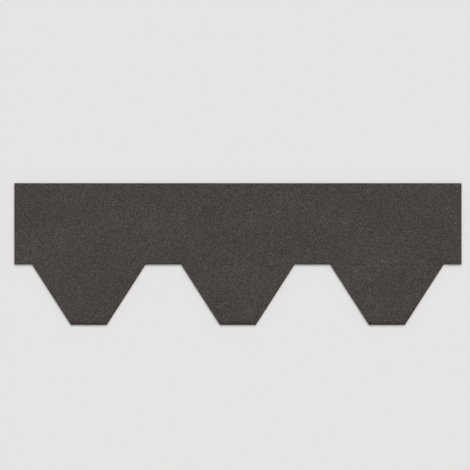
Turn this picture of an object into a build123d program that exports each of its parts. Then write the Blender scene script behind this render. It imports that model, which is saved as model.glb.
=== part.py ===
from build123d import *
import os

# Hexagonal asphalt shingle strip, one sheet of granule-coated bitumen felt cut by a die.
# A plain head runs along the top, and half-hexagon tabs hang from it. Laid in courses that
# are each shifted by half a tab, the tabs and the cut-outs between them show as hexagons.
# Millimetres. +X runs along the eave, +Y up the roof, +Z out of the granule face.
# The origin is under the middle of the sheet, on the face that lies on the roof deck.

# Sizes of the whole strip
STRIP_LENGTH = 1000.0  # along the eave
STRIP_DEPTH = 317.0  # from the lower edges of the tabs up to the head edge
SHEET_THICKNESS = 3.2  # felt, bitumen and granules together

# Sizes of the die line
TAB_COUNT = 3
TAB_DEPTH = 135.0  # height of a tab, which is what a course shows below the one above it
BUTT_WIDTH = 80.0  # straight lower edge of a tab, as wide as the roof of a cut-out
CORNER_ROUND = 1.5  # bend of the cutting rule at each corner of the outline
EDGE_ROUND = 0.6  # arris of the granule face, rolled over as the die cuts through

# Places and sizes that follow. The tabs of two strips are cut out of each other, so a tab
# is as wide at its root as a cut-out is at its mouth.
TAB_PITCH = STRIP_LENGTH / TAB_COUNT
TAB_ROOT_WIDTH = TAB_PITCH - BUTT_WIDTH
HEAD_DEPTH = STRIP_DEPTH - TAB_DEPTH
ROOT_LINE = STRIP_DEPTH / 2 - HEAD_DEPTH  # where the tabs leave the head


def tab_face():
    """One half-hexagon tab, with the middle of its root at the origin and its lower edge at -Y."""
    corners = [
        (-TAB_ROOT_WIDTH / 2, 0),
        (TAB_ROOT_WIDTH / 2, 0),
        (BUTT_WIDTH / 2, -TAB_DEPTH),
        (-BUTT_WIDTH / 2, -TAB_DEPTH),
    ]
    return make_face(Polyline(*corners, close=True))


def strip_face():
    """The outline that the die cuts: the head with a row of tabs on its lower edge."""
    head = Rectangle(STRIP_LENGTH, HEAD_DEPTH, align=(Align.CENTER, Align.MIN))
    tabs = [place * tab_face() for place in GridLocations(TAB_PITCH, 0, TAB_COUNT, 1)]
    outline = Pos(0, ROOT_LINE) * (head + tabs)
    return fillet(outline.vertices(), CORNER_ROUND)


def shingle_strip():
    """The whole strip, flat on the deck with its granule face up."""
    sheet = extrude(strip_face(), SHEET_THICKNESS)
    granule_face = sheet.faces().sort_by(Axis.Z)[-1]
    strip = fillet(granule_face.edges(), EDGE_ROUND)
    strip.label = "shingle_strip"
    return strip


os.makedirs("parts", exist_ok=True)
export_step(shingle_strip(), "parts/shingle_strip.step")
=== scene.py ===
import math

import bmesh
import bpy
import numpy as np
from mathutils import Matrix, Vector


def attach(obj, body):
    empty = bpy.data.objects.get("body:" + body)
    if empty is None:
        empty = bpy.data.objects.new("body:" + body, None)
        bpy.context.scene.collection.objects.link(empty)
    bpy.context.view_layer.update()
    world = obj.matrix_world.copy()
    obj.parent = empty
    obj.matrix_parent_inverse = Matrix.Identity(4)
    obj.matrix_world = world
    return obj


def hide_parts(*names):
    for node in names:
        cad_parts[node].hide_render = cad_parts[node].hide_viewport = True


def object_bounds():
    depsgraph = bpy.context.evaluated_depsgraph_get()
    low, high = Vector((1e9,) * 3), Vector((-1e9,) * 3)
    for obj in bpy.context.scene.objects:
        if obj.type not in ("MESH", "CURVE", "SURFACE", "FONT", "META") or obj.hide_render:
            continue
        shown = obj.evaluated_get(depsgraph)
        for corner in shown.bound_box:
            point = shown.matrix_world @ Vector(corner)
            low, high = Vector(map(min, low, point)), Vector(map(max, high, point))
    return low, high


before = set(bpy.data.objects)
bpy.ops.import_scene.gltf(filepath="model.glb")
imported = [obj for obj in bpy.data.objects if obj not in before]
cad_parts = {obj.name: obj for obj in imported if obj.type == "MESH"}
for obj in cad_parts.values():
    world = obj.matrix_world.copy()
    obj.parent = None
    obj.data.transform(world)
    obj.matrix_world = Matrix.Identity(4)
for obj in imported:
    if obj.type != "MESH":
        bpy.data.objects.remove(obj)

# Hexagonal asphalt shingle strip: a sheet of bitumen felt with crushed stone granules in its face.
# Metres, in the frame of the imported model: +X along the eave, +Y up the roof, +Z out of the granule face.

CAD_LOW, CAD_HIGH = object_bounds()
STRIP = "shingle_strip"
MM = 0.001

# The photograph: where the strip lies in it, and how large
PHOTO_PX = 470
TABS = 3
TAB_PITCH_PX = 149.2
MIDDLE_BUTT_PX = (238.0, 325.0)  # middle of the lower edge of the middle tab

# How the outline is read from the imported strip
UNDERSIDE_NORMAL = -0.9  # faces whose normals point lower than this are the underside
SAME_POINT = 0.01 * MM

# The sheet under the granules
BED_DEPTH = 0.7 * MM  # how far the bitumen that holds the granules lies below the strip's top
BED_LEVEL = CAD_HIGH.z - BED_DEPTH
EDGE_STEP = 2.5 * MM  # length of a facet along the cut edge
EDGE_ROUGHNESS = 0.16 * MM  # how far the knife tears the felt
ROLL_WIDTH = 0.7 * MM  # how far the arris is rolled over
# The cut edge from the underside up: inset as a share of the roll's width, height as a share of the felt
EDGE_SHARES = ((0.0, 0.0), (0.0, 0.2), (0.0, 0.4), (0.0, 0.6), (0.25, 0.84), (1.0, 1.0))

# The granules
GRANULE_SPACING = 1.45 * MM
PUSH_PASSES = 6  # how often the granules push each other apart
PUSH_SHARE = 0.25  # how much of what they lack to their spacing they move in a pass
GRANULE_WIDTH = 1.75 * MM
GRANULE_WIDTH_SPREAD = 0.22  # of the width's logarithm
GRANULE_STRETCH = 0.16  # how far they are drawn out one way and narrowed the other, as a logarithm
GRANULE_HEIGHT = 0.56 * MM  # how far a granule stands out of the bitumen
GRANULE_HEIGHT_SHARES = (0.75, 1.15)  # some are pressed in deeper than others
GRANULE_ROOT = 2.0 * MM  # how deep a granule's root lies in the felt
GRANULE_TILT = 0.18  # spread of the crowns' slopes
CROWN_SHARES = (0.70, 1.05)  # how far the corners of a granule's crown reach, of half its width
CORNER_HEIGHT_SHARES = (0.60, 1.30)  # of the granule's height
CORNER_JITTER = 0.35  # how far a corner may be turned from its even place, in radians
GRANULE_PROUD = 0.1 * MM  # the roller leaves none standing further over the strip's thickness
BARE_RIM = 0.6 * MM  # no granule's middle lies closer to the cut edge
CHIPPED_RIM = 2.6 * MM  # the die knocks off some granules this close to the edge
CHIPPED_SHARE = 0.45  # of the granules there
LOST_SHARE = 0.012  # granules missing anywhere
SEED = 31

# The lower edges of the tabs, where the granules are fewer (wear), and the granules and the bed are darker
# towards the edge (painted shade)
WORN_AND_SHADED_BUTT = 10.0 * MM  # how far up from the edge this goes
WORN_SHARE = 0.55  # of the granules gone right at the edge
# painted shade: the tones of the granules and of the bed right at the edge
BUTT_SHADE_GRANULE_TONE = 0.76
BUTT_SHADE_BED_TONE = 0.35

# A granule has a crown of five corners, and tapers to a root that the felt hides
CROWN = 5
CROWN_TURNS = np.arange(CROWN) * (2 * math.pi / CROWN)
CROWN_FACES = [(0, corner, corner + 1) for corner in range(1, CROWN - 1)]
SIDE_FACES = [((corner + 1) % CROWN, corner, CROWN) for corner in range(CROWN)]
GRANULE_FACES = np.array(CROWN_FACES + SIDE_FACES)
# In its square of the bake map, how far the crown's corners and the folded-out root lie from the middle
MAP_CROWN_SHARE = 0.24
MAP_ROOT_SHARE = 0.45

# Granule colours, from dark to light, as linear dark and light ends
GRANULE_COLOURS = {
    "charcoal": ((0.051, 0.046, 0.042), (0.066, 0.059, 0.055)),
    "umber": ((0.065, 0.054, 0.047), (0.087, 0.072, 0.064)),
    "taupe": ((0.080, 0.069, 0.061), (0.105, 0.091, 0.082)),
    "warm_grey": ((0.093, 0.083, 0.077), (0.124, 0.110, 0.102)),
    "sandstone": ((0.112, 0.096, 0.087), (0.152, 0.131, 0.120)),
}

# How the finishes vary: patches that drift along the strip, and the specks of the stone in each granule
PATCH_DETAIL = 3.0
PATCH_ROUGHNESS = 0.55
PATCH_LEVELS = (0.3, 0.7)  # nearly all of the noise lies between these levels
DRIFT_PER_METRE = 9.0
DRIFT_STRETCH = (0.6, 1.0, 1.0)  # the patches are longer the way the sheet ran under the hoppers
SPECKS_PER_METRE = 2400.0
SPECK_STRETCH = (1.0, 1.0, 1.0)
SPECK_AMOUNT = 0.18
SPECK_RELIEF = 0.05 * MM
RELIEF_STRENGTH = 0.8
GRANULE_DRIFT = 0.08
GRANULE_ROUGHNESS = (0.95, 0.72)  # of the darkest and the lightest granules of a colour
GRANULE_SPECULAR = 0.3

# The felt's finishes, all of grit in bitumen: grains to a metre, linear dark and light ends, and relief
GRAIN_REACH = 0.7  # how far from its middle a grain's top slopes down, in spacings of the grains
CUT_GRAINS = 1400.0
CUT_COLOURS = ((0.008, 0.0075, 0.007), (0.026, 0.024, 0.022))
CUT_RELIEF = 0.08 * MM
CUT_DRIFT = 0.15
CUT_ROUGHNESS = 0.62
CUT_SPECULAR = 0.35
BED_GRAINS = 1100.0
BED_COLOURS = ((0.020, 0.018, 0.017), (0.075, 0.065, 0.059))
BED_RELIEF = 0.35 * MM
BED_DRIFT = 0.08
BED_ROUGHNESS = 0.9
BED_SPECULAR = 0.3
SAND_GRAINS = 1900.0
SAND_COLOURS = ((0.022, 0.021, 0.020), (0.085, 0.080, 0.074))
SAND_RELIEF = 0.15 * MM
SAND_DRIFT = 0.22
SAND_ROUGHNESS = 0.88
SAND_SPECULAR = 0.3

# The stage and its light
FLOOR_HALF = 40.0  # half the length of its sides
FLOOR_DROP = 0.2 * MM  # how far the floor lies under the strip
FLOOR_COLOUR = (0.84, 0.84, 0.83)
FLOOR_ROUGHNESS = 0.9
KEY_FROM = Vector((0.18, 0.86, 0.52))  # the key light comes low over the head edge
KEY_STRENGTH = 1.9
KEY_SOFTNESS = math.radians(20)
FILL_FROM = Vector((0.80, 0.25, 0.60))  # the fill light comes from the right
FILL_STRENGTH = 0.85
FILL_SOFTNESS = math.radians(60)
SKY_COLOUR = (1.0, 0.99, 0.975)
SKY_AT_HORIZON = 0.62
SKY_AT_ZENITH = 0.39
BACKDROP_LEVEL = 0.79  # the sky as it is seen, which is as pale as the floor
LENS = 85.0  # focal length, in millimetres

# The kinds of a node group's sockets
NUMBER = "NodeSocketFloat"
VECTOR = "NodeSocketVector"
COLOUR = "NodeSocketColor"


def faces_down(face):
    """Whether a face is part of the underside."""
    return face.normal.z < UNDERSIDE_NORMAL


def die_line(node):
    """The strip's outline: the corners of its underside in order, anticlockwise from above."""
    shape = bmesh.new()
    shape.from_mesh(node.data)
    bmesh.ops.remove_doubles(shape, verts=shape.verts, dist=SAME_POINT)
    ahead = {}
    for face in filter(faces_down, shape.faces):
        for loop in face.loops:
            if sum(map(faces_down, loop.edge.link_faces)) == 1:
                ahead[loop.link_loop_next.vert] = loop.vert
    corner = start = min(ahead, key=lambda vert: vert.co[:])
    corners = []
    while True:
        corners.append(corner.co.xy[:])
        corner = ahead[corner]
        if corner is start:
            break
    shape.free()
    return np.array(corners)


def divided(outline, step):
    """The outline with points no further apart than step."""
    points = []
    for here, there in zip(outline, np.roll(outline, -1, axis=0)):
        count = max(1, math.ceil(np.linalg.norm(there - here) / step))
        shares = np.arange(count)[:, None] / count
        points.append(here + (there - here) * shares)
    return np.concatenate(points)


def inward(outline):
    """At each point of the outline, the direction into the strip."""
    before = outline - np.roll(outline, 1, axis=0)
    after = np.roll(outline, -1, axis=0) - outline
    before /= np.linalg.norm(before, axis=1)[:, None]
    after /= np.linalg.norm(after, axis=1)[:, None]
    along = before + after
    along /= np.linalg.norm(along, axis=1)[:, None]
    return np.stack([-along[:, 1], along[:, 0]], axis=1)


def inside_and_depth(points, outline):
    """For each point, whether it lies in the outline, and how far it is from the nearest edge."""
    inside = np.zeros(len(points), bool)
    depth = np.full(len(points), np.inf)
    for here, there in zip(outline, np.roll(outline, -1, axis=0)):
        edge = there - here
        offset = points - here
        along = np.clip(offset @ edge / (edge @ edge), 0, 1)
        depth = np.minimum(depth, np.linalg.norm(offset - along[:, None] * edge, axis=1))
        if edge[1] == 0:
            continue
        spans = (here[1] > points[:, 1]) != (there[1] > points[:, 1])
        crossing = here[0] + (points[:, 1] - here[1]) * edge[0] / edge[1]
        inside ^= spans & (points[:, 0] < crossing)
    return inside, depth


def new_piece(name, points, faces):
    """A mesh object of these points and faces."""
    mesh = bpy.data.meshes.new(name)
    mesh.from_pydata(points.tolist(), [], faces)
    piece = bpy.data.objects.new(name, mesh)
    bpy.context.scene.collection.objects.link(piece)
    return piece


# Shader nodes


def add(tree, kind, inputs=None, **settings):
    """A new node with these properties and, by socket name or number, these input values."""
    node = tree.nodes.new(kind)
    for name, value in settings.items():
        setattr(node, name, value)
    for name, value in (inputs or {}).items():
        node.inputs[name].default_value = value
    return node


def effect_group(name, inputs, outputs):
    """An empty shader node group with these sockets, by name and kind, and the nodes at its two ends."""
    group = bpy.data.node_groups.new(name, "ShaderNodeTree")
    for socket, kind in inputs.items():
        group.interface.new_socket(socket, in_out="INPUT", socket_type=kind)
    for socket, kind in outputs.items():
        group.interface.new_socket(socket, in_out="OUTPUT", socket_type=kind)
    return group, group.nodes.new("NodeGroupInput"), group.nodes.new("NodeGroupOutput")


def mottle_group():
    """Lighter and darker patches: as a tone about 1, and as a height."""
    group, given, result = effect_group(
        "mottle",
        inputs={"Patches per Metre": NUMBER, "Stretch": VECTOR, "Amount": NUMBER},
        outputs={"Tone": NUMBER, "Height": NUMBER},
    )
    low, high = PATCH_LEVELS
    place = add(group, "ShaderNodeTexCoord")
    stretched = add(group, "ShaderNodeVectorMath", operation="MULTIPLY")
    patches = add(group, "ShaderNodeTexNoise", {"Detail": PATCH_DETAIL, "Roughness": PATCH_ROUGHNESS})
    lowest = add(group, "ShaderNodeMath", {0: 1.0}, operation="SUBTRACT")
    highest = add(group, "ShaderNodeMath", {0: 1.0}, operation="ADD")
    tone = add(group, "ShaderNodeMapRange", {"From Min": low, "From Max": high})
    group.links.new(place.outputs["Object"], stretched.inputs[0])
    group.links.new(given.outputs["Stretch"], stretched.inputs[1])
    group.links.new(stretched.outputs["Vector"], patches.inputs["Vector"])
    group.links.new(given.outputs["Patches per Metre"], patches.inputs["Scale"])
    group.links.new(given.outputs["Amount"], lowest.inputs[1])
    group.links.new(given.outputs["Amount"], highest.inputs[1])
    group.links.new(patches.outputs["Fac"], tone.inputs["Value"])
    group.links.new(lowest.outputs[0], tone.inputs["To Min"])
    group.links.new(highest.outputs[0], tone.inputs["To Max"])
    group.links.new(tone.outputs["Result"], result.inputs["Tone"])
    group.links.new(patches.outputs["Fac"], result.inputs["Height"])
    return group


def butt_shade_group():
    """Painted shade along the lower edges of the tabs: a tone that rises from its least, at the edge, to 1.
    """
    group, given, result = effect_group(
        "painted_butt_shade", inputs={"Least Tone": NUMBER}, outputs={"Tone": NUMBER}
    )
    place = add(group, "ShaderNodeTexCoord")
    parts = add(group, "ShaderNodeSeparateXYZ")
    reach = {"From Min": CAD_LOW.y, "From Max": CAD_LOW.y + WORN_AND_SHADED_BUTT, "To Max": 1.0}
    tone = add(group, "ShaderNodeMapRange", reach)
    group.links.new(place.outputs["Object"], parts.inputs["Vector"])
    group.links.new(parts.outputs["Y"], tone.inputs["Value"])
    group.links.new(given.outputs["Least Tone"], tone.inputs["To Min"])
    group.links.new(tone.outputs["Result"], result.inputs["Tone"])
    return group


def granule_tint_group():
    """The fired colour of each granule: its own shade between two ends, glossier where it is lighter."""
    group, given, result = effect_group(
        "granule_tint",
        inputs={"Dark": COLOUR, "Light": COLOUR, "Tone": NUMBER},
        outputs={"Color": COLOUR, "Roughness": NUMBER},
    )
    own = add(group, "ShaderNodeAttribute", attribute_name="shade")
    shade = add(group, "ShaderNodeMix", data_type="RGBA")
    drifted = add(group, "ShaderNodeVectorMath", operation="SCALE")
    darkest, lightest = GRANULE_ROUGHNESS
    roughness = add(group, "ShaderNodeMapRange", {"To Min": darkest, "To Max": lightest})
    group.links.new(own.outputs["Fac"], shade.inputs["Factor"])
    group.links.new(given.outputs["Dark"], shade.inputs["A"])
    group.links.new(given.outputs["Light"], shade.inputs["B"])
    group.links.new(shade.outputs["Result"], drifted.inputs[0])
    group.links.new(given.outputs["Tone"], drifted.inputs["Scale"])
    group.links.new(own.outputs["Fac"], roughness.inputs["Value"])
    group.links.new(drifted.outputs["Vector"], result.inputs["Color"])
    group.links.new(roughness.outputs["Result"], result.inputs["Roughness"])
    return group


def grit_group():
    """Fine grit: grains that each have a shade of their own, with the height of their rounded tops."""
    group, given, result = effect_group(
        "grit",
        inputs={"Grains per Metre": NUMBER, "Dark": COLOUR, "Light": COLOUR, "Tone": NUMBER},
        outputs={"Color": COLOUR, "Height": NUMBER},
    )
    place = add(group, "ShaderNodeTexCoord")
    grains = add(group, "ShaderNodeTexVoronoi", feature="F1")
    own = add(group, "ShaderNodeSeparateColor")
    shade = add(group, "ShaderNodeMix", data_type="RGBA")
    drifted = add(group, "ShaderNodeVectorMath", operation="SCALE")
    height = add(group, "ShaderNodeMapRange", {"From Max": GRAIN_REACH, "To Min": 1.0, "To Max": 0.0})
    group.links.new(place.outputs["Object"], grains.inputs["Vector"])
    group.links.new(given.outputs["Grains per Metre"], grains.inputs["Scale"])
    group.links.new(grains.outputs["Color"], own.inputs["Color"])
    group.links.new(own.outputs["Red"], shade.inputs["Factor"])
    group.links.new(given.outputs["Dark"], shade.inputs["A"])
    group.links.new(given.outputs["Light"], shade.inputs["B"])
    group.links.new(shade.outputs["Result"], drifted.inputs[0])
    group.links.new(given.outputs["Tone"], drifted.inputs["Scale"])
    group.links.new(grains.outputs["Distance"], height.inputs["Value"])
    group.links.new(drifted.outputs["Vector"], result.inputs["Color"])
    group.links.new(height.outputs["Result"], result.inputs["Height"])
    return group


MOTTLE = mottle_group()
BUTT_SHADE = butt_shade_group()
GRANULE_TINT = granule_tint_group()
GRIT = grit_group()


def new_material(name, **sockets):
    """A node material with one Principled shader, with these sockets set, and its tree."""
    material = bpy.data.materials.new(name)
    material.use_nodes = True
    shader = material.node_tree.nodes["Principled BSDF"]
    for socket, value in sockets.items():
        shader.inputs[socket.replace("_", " ")].default_value = value
    return material, material.node_tree, shader


def opaque(colour):
    """A colour with full alpha, as colour sockets take it."""
    return (*colour, 1.0)


def mottle(tree, per_metre, stretch, amount):
    """The mottle group, placed in a material with these values."""
    values = {"Patches per Metre": per_metre, "Stretch": stretch, "Amount": amount}
    return add(tree, "ShaderNodeGroup", values, node_tree=MOTTLE)


def drift(tree, amount):
    """The tone of a blend that drifts lighter and darker along the strip, by this amount."""
    return mottle(tree, DRIFT_PER_METRE, DRIFT_STRETCH, amount).outputs["Tone"]


def painted_butt_shade(tree, least):
    """The painted shade at the lower edges of the tabs: a tone that is least at the edge."""
    return add(tree, "ShaderNodeGroup", {"Least Tone": least}, node_tree=BUTT_SHADE).outputs["Tone"]


def multiplied(tree, *tones):
    """These tones multiplied together."""
    result, *others = tones
    for tone in others:
        product = add(tree, "ShaderNodeMath", operation="MULTIPLY")
        tree.links.new(result, product.inputs[0])
        tree.links.new(tone, product.inputs[1])
        result = product.outputs[0]
    return result


def raise_relief(tree, shader, height, depth):
    """Gives the shader the relief of this height, so deep."""
    relief = add(tree, "ShaderNodeBump", {"Strength": RELIEF_STRENGTH, "Distance": depth})
    tree.links.new(height, relief.inputs["Height"])
    tree.links.new(relief.outputs["Normal"], shader.inputs["Normal"])


def granule_material(name, dark, light):
    """Fired ceramic colour on crushed stone: a shade for each granule, and the specks of the stone."""
    material, tree, shader = new_material(f"granule_{name}", Specular_IOR_Level=GRANULE_SPECULAR)
    specks = mottle(tree, SPECKS_PER_METRE, SPECK_STRETCH, SPECK_AMOUNT)
    ends = {"Dark": opaque(dark), "Light": opaque(light)}
    tint = add(tree, "ShaderNodeGroup", ends, node_tree=GRANULE_TINT)
    blend = drift(tree, GRANULE_DRIFT)
    # painted shade: the granules get darker towards the tabs' lower edges
    painted_shade = painted_butt_shade(tree, BUTT_SHADE_GRANULE_TONE)
    tree.links.new(multiplied(tree, blend, painted_shade, specks.outputs["Tone"]), tint.inputs["Tone"])
    tree.links.new(tint.outputs["Color"], shader.inputs["Base Color"])
    tree.links.new(tint.outputs["Roughness"], shader.inputs["Roughness"])
    raise_relief(tree, shader, specks.outputs["Height"], SPECK_RELIEF)
    return material


def grit_material(name, grains, colours, relief, drift_amount, butt_shade_tone=1.0, **sockets):
    """A surface of fine grit in bitumen, with painted shade of another tone at the lower edges of the tabs.
    """
    material, tree, shader = new_material(name, **sockets)
    dark, light = map(opaque, colours)
    values = {"Grains per Metre": grains, "Dark": dark, "Light": light}
    grit = add(tree, "ShaderNodeGroup", values, node_tree=GRIT)
    tone = multiplied(tree, drift(tree, drift_amount), painted_butt_shade(tree, butt_shade_tone))
    tree.links.new(tone, grit.inputs["Tone"])
    tree.links.new(grit.outputs["Color"], shader.inputs["Base Color"])
    raise_relief(tree, shader, grit.outputs["Height"], relief)
    return material


def cut_bitumen():
    """The cut edge: black bitumen with the mineral filler in it."""
    return grit_material(
        "cut_bitumen", CUT_GRAINS, CUT_COLOURS, CUT_RELIEF, CUT_DRIFT,
        Roughness=CUT_ROUGHNESS, Specular_IOR_Level=CUT_SPECULAR,
    )


def granule_bed():
    """The bitumen between the granules, with their dust and crumbs in it."""
    # the bed gets darker towards the tabs' lower edges by painted shade
    return grit_material(
        "granule_bed", BED_GRAINS, BED_COLOURS, BED_RELIEF, BED_DRIFT, BUTT_SHADE_BED_TONE,
        Roughness=BED_ROUGHNESS, Specular_IOR_Level=BED_SPECULAR,
    )


def sanded_back():
    """The underside, strewn with fine sand so that the strips of a pack don't stick together."""
    return grit_material(
        "sanded_back", SAND_GRAINS, SAND_COLOURS, SAND_RELIEF, SAND_DRIFT,
        Roughness=SAND_ROUGHNESS, Specular_IOR_Level=SAND_SPECULAR,
    )


# The pieces


def felt_shape(outline, rng):
    """Points and faces of the felt.

    They are the underside, the cut edge that the knife left a little torn, with its arris rolled over,
    and the bed of the granules.
    """
    line = divided(outline, EDGE_STEP)
    into = inward(line)
    felt = BED_LEVEL - CAD_LOW.z
    count = len(line)
    rings = []
    for inset, height in EDGE_SHARES:
        torn = rng.random(count) * EDGE_ROUGHNESS
        ring = line + into * (inset * ROLL_WIDTH + torn)[:, None]
        rings.append(np.column_stack([ring, np.full(count, CAD_LOW.z + felt * height)]))
    number = np.arange(len(rings) * count).reshape(len(rings), count)
    ahead = np.roll(number, -1, axis=1)
    edge = np.stack([number[:-1], ahead[:-1], ahead[1:], number[1:]], axis=-1).reshape(-1, 4)
    faces = [number[0, ::-1].tolist(), *edge.tolist(), number[-1].tolist()]
    return np.concatenate(rings), faces


def felt_sheet(outline, rng):
    """The bitumen felt, with a finish each for its cut edge, its bed of granules and its underside."""
    points, faces = felt_shape(outline, rng)
    sheet = new_piece("bitumen_felt_sheet", points, faces)
    underside, bed = 0, len(faces) - 1
    sheet.data.materials.append(cut_bitumen())
    for face, finish in ((bed, granule_bed()), (underside, sanded_back())):
        sheet.data.materials.append(finish)
        sheet.data.polygons[face].material_index = len(sheet.data.materials) - 1
    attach(sheet, "root")
    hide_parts(STRIP)


def pushed_apart(places):
    """Places in rows and columns, after each has been pushed away from those next to it."""
    steps = [(row, column) for row in (-1, 0, 1) for column in (-1, 0, 1) if row or column]
    for _ in range(PUSH_PASSES):
        push = np.zeros_like(places)
        for step in steps:
            apart = places - np.roll(places, step, axis=(0, 1))
            distance = np.linalg.norm(apart, axis=-1, keepdims=True)
            push += apart / distance * np.clip(GRANULE_SPACING - distance, 0, None)
        places = places + push * PUSH_SHARE
    return places


def granule_places(outline, rng):
    """Where the granules lie, with each one's distance from the cut edge.

    One falls anywhere in each cell of a grid. They push each other apart, and are thinned along the
    cut edge and over the worn lower edges of the tabs.
    """
    columns = np.arange(CAD_LOW.x, CAD_HIGH.x, GRANULE_SPACING)
    rows = np.arange(CAD_LOW.y, CAD_HIGH.y, GRANULE_SPACING)
    cells = np.stack(np.meshgrid(columns, rows), axis=-1)
    fallen = cells + rng.random(cells.shape) * GRANULE_SPACING
    places = pushed_apart(fallen).reshape(-1, 2)
    inside, depth = inside_and_depth(places, outline)
    chipped = (depth < CHIPPED_RIM) & (rng.random(len(places)) < CHIPPED_SHARE)
    above_butt = places[:, 1] - CAD_LOW.y
    worn = rng.random(len(places)) < WORN_SHARE * (1 - above_butt / WORN_AND_SHADED_BUTT)
    lost = rng.random(len(places)) < LOST_SHARE
    kept = inside & (depth > BARE_RIM) & ~chipped & ~worn & ~lost
    return np.column_stack([places, depth])[kept]


def granule_points(places, rng):
    """The corners of each granule: those of its crown, then its root."""
    count = len(places)
    each = (count, CROWN)
    stretch = np.exp(np.abs(rng.normal(0, GRANULE_STRETCH, (count, 1))))
    width = GRANULE_WIDTH * np.exp(rng.normal(0, GRANULE_WIDTH_SPREAD, (count, 1)))
    widest = 2 * places[:, 2:] / max(CROWN_SHARES) / stretch  # so that none reaches over the cut edge
    turn = rng.random((count, 1)) * 2 * math.pi
    angle = turn + CROWN_TURNS + rng.uniform(-CORNER_JITTER, CORNER_JITTER, each)
    reach = rng.uniform(*CROWN_SHARES, each) * np.minimum(width, widest) / 2
    along = reach * np.cos(angle) * stretch
    across = reach * np.sin(angle) / stretch
    lie = rng.random((count, 1)) * 2 * math.pi
    x = along * np.cos(lie) - across * np.sin(lie)
    y = along * np.sin(lie) + across * np.cos(lie)
    tilt = rng.normal(0, GRANULE_TILT, (count, 2))
    height = GRANULE_HEIGHT * rng.uniform(*GRANULE_HEIGHT_SHARES, (count, 1))
    level = height * rng.uniform(*CORNER_HEIGHT_SHARES, each) + x * tilt[:, :1] + y * tilt[:, 1:]
    z = np.minimum(BED_LEVEL + level, CAD_HIGH.z + GRANULE_PROUD)
    crown = np.stack([x + places[:, 0:1], y + places[:, 1:2], z], axis=-1)
    root = np.column_stack([places[:, :2], np.full(count, BED_LEVEL - GRANULE_ROOT)])
    return np.concatenate([crown, root[:, None]], axis=1)


def on_circle(radius, turns):
    """Points round the origin at this radius, at these turns."""
    return radius * np.stack([np.cos(turns), np.sin(turns)], axis=1)


def granule_bake_map(mesh, count):
    """A map with a small square for each granule, its crown in the middle and its sides folded out."""
    across = math.ceil(math.sqrt(count))
    middle = np.stack([np.arange(count) % across, np.arange(count) // across], axis=1) + 0.5
    crown = on_circle(MAP_CROWN_SHARE, CROWN_TURNS)
    roots = on_circle(MAP_ROOT_SHARE, CROWN_TURNS + math.pi / CROWN)
    sides = np.stack([np.roll(crown, -1, axis=0), crown, roots], axis=1)
    star = np.concatenate([crown[CROWN_FACES], sides])
    places = (middle[:, None, None, :] + star[None]) / across
    layer = mesh.uv_layers.new(name="OFBake")
    layer.uv.foreach_set("vector", places.astype(np.float32).ravel())


def granules(name, places, rng):
    """All granules of one colour, as one piece."""
    points = granule_points(places, rng)
    count, corners, _ = points.shape
    faces = (GRANULE_FACES[None] + np.arange(count)[:, None, None] * corners).reshape(-1, 3)
    piece = new_piece(f"granules_{name}", points.reshape(-1, 3), faces.tolist())
    granule_bake_map(piece.data, count)
    shade = piece.data.attributes.new("shade", "FLOAT", "FACE")
    shade.data.foreach_set("value", np.repeat(rng.random(count), len(GRANULE_FACES)).astype(np.float32))
    piece.data.materials.append(granule_material(name, *GRANULE_COLOURS[name]))
    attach(piece, "root")


def granule_face(outline, rng):
    """The granules of every colour, dealt out at random over the strip."""
    places = rng.permutation(granule_places(outline, rng))
    shares = np.array_split(places, len(GRANULE_COLOURS))
    for name, share in zip(GRANULE_COLOURS, shares):
        granules(name, share, rng)


# The stage, the light and the camera


def floor():
    """A wide pale floor just under the strip."""
    corners = np.array([(-1, -1), (1, -1), (1, 1), (-1, 1)]) * FLOOR_HALF
    points = np.column_stack([corners, np.full(len(corners), CAD_LOW.z - FLOOR_DROP)])
    plane = new_piece("floor", points, [(0, 1, 2, 3)])
    material, _, _ = new_material(
        "pale_floor", Base_Color=opaque(FLOOR_COLOUR), Roughness=FLOOR_ROUGHNESS, Specular_IOR_Level=0.0
    )
    plane.data.materials.append(material)


def soft_lamp(name, place, strength, softness):
    """Even light from the side of this place, as from a wide window."""
    source = bpy.data.lights.new(name, "SUN")
    source.energy = strength
    source.angle = softness
    light = bpy.data.objects.new(name, source)
    bpy.context.scene.collection.objects.link(light)
    light.location = place
    light.rotation_euler = (-place).to_track_quat("-Z", "Y").to_euler()


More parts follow.
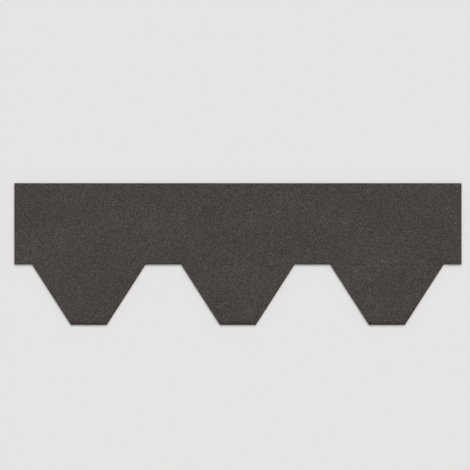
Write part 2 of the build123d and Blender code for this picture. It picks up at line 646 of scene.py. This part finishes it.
def studio_sky():
    """A sky that lights more from the horizon, and is seen as one pale backdrop."""
    world = bpy.data.worlds.new("studio")
    world.use_nodes = True
    tree = world.node_tree
    sky = tree.nodes["Background"]
    sky.inputs["Color"].default_value = opaque(SKY_COLOUR)
    direction = add(tree, "ShaderNodeTexCoord")
    parts = add(tree, "ShaderNodeSeparateXYZ")
    light = add(tree, "ShaderNodeMapRange", {"To Min": SKY_AT_HORIZON, "To Max": SKY_AT_ZENITH})
    ray = add(tree, "ShaderNodeLightPath")
    direct = add(tree, "ShaderNodeMath", operation="ADD")
    seen = add(tree, "ShaderNodeMath", operation="ADD", use_clamp=True)
    level = add(tree, "ShaderNodeMix", {"B": BACKDROP_LEVEL}, data_type="FLOAT")
    tree.links.new(direction.outputs["Generated"], parts.inputs["Vector"])
    tree.links.new(parts.outputs["Z"], light.inputs["Value"])
    tree.links.new(ray.outputs["Is Camera Ray"], direct.inputs[0])
    tree.links.new(ray.outputs["Is Glossy Ray"], direct.inputs[1])
    tree.links.new(direct.outputs[0], seen.inputs[0])
    tree.links.new(ray.outputs["Is Transmission Ray"], seen.inputs[1])
    tree.links.new(seen.outputs[0], level.inputs["Factor"])
    tree.links.new(light.outputs["Result"], level.inputs["A"])
    tree.links.new(level.outputs["Result"], sky.inputs["Strength"])
    bpy.context.scene.world = world


def lighting():
    """A soft key light low over the head edge, a softer fill from the right, and the sky."""
    soft_lamp("key_light", KEY_FROM, KEY_STRENGTH, KEY_SOFTNESS)
    soft_lamp("fill_light", FILL_FROM, FILL_STRENGTH, FILL_SOFTNESS)
    studio_sky()
    bpy.context.scene.view_settings.view_transform = "Standard"


def photo_camera():
    """Straight above the strip, with the middle tab's lower edge where the photograph has it."""
    metres_per_px = (CAD_HIGH.x - CAD_LOW.x) / TABS / TAB_PITCH_PX
    lens = bpy.data.cameras.new("photo_camera")
    lens.lens = LENS
    camera = bpy.data.objects.new("photo_camera", lens)
    bpy.context.scene.collection.objects.link(camera)
    across = PHOTO_PX * metres_per_px
    camera.location = (
        -(MIDDLE_BUTT_PX[0] - PHOTO_PX / 2) * metres_per_px,
        CAD_LOW.y + (MIDDLE_BUTT_PX[1] - PHOTO_PX / 2) * metres_per_px,
        CAD_HIGH.z + across * lens.lens / lens.sensor_width,
    )
    bpy.context.scene.camera = camera


RNG = np.random.default_rng(SEED)
OUTLINE = die_line(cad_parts[STRIP])
photo_camera()
lighting()
floor()
felt_sheet(OUTLINE, RNG)
granule_face(OUTLINE, RNG)
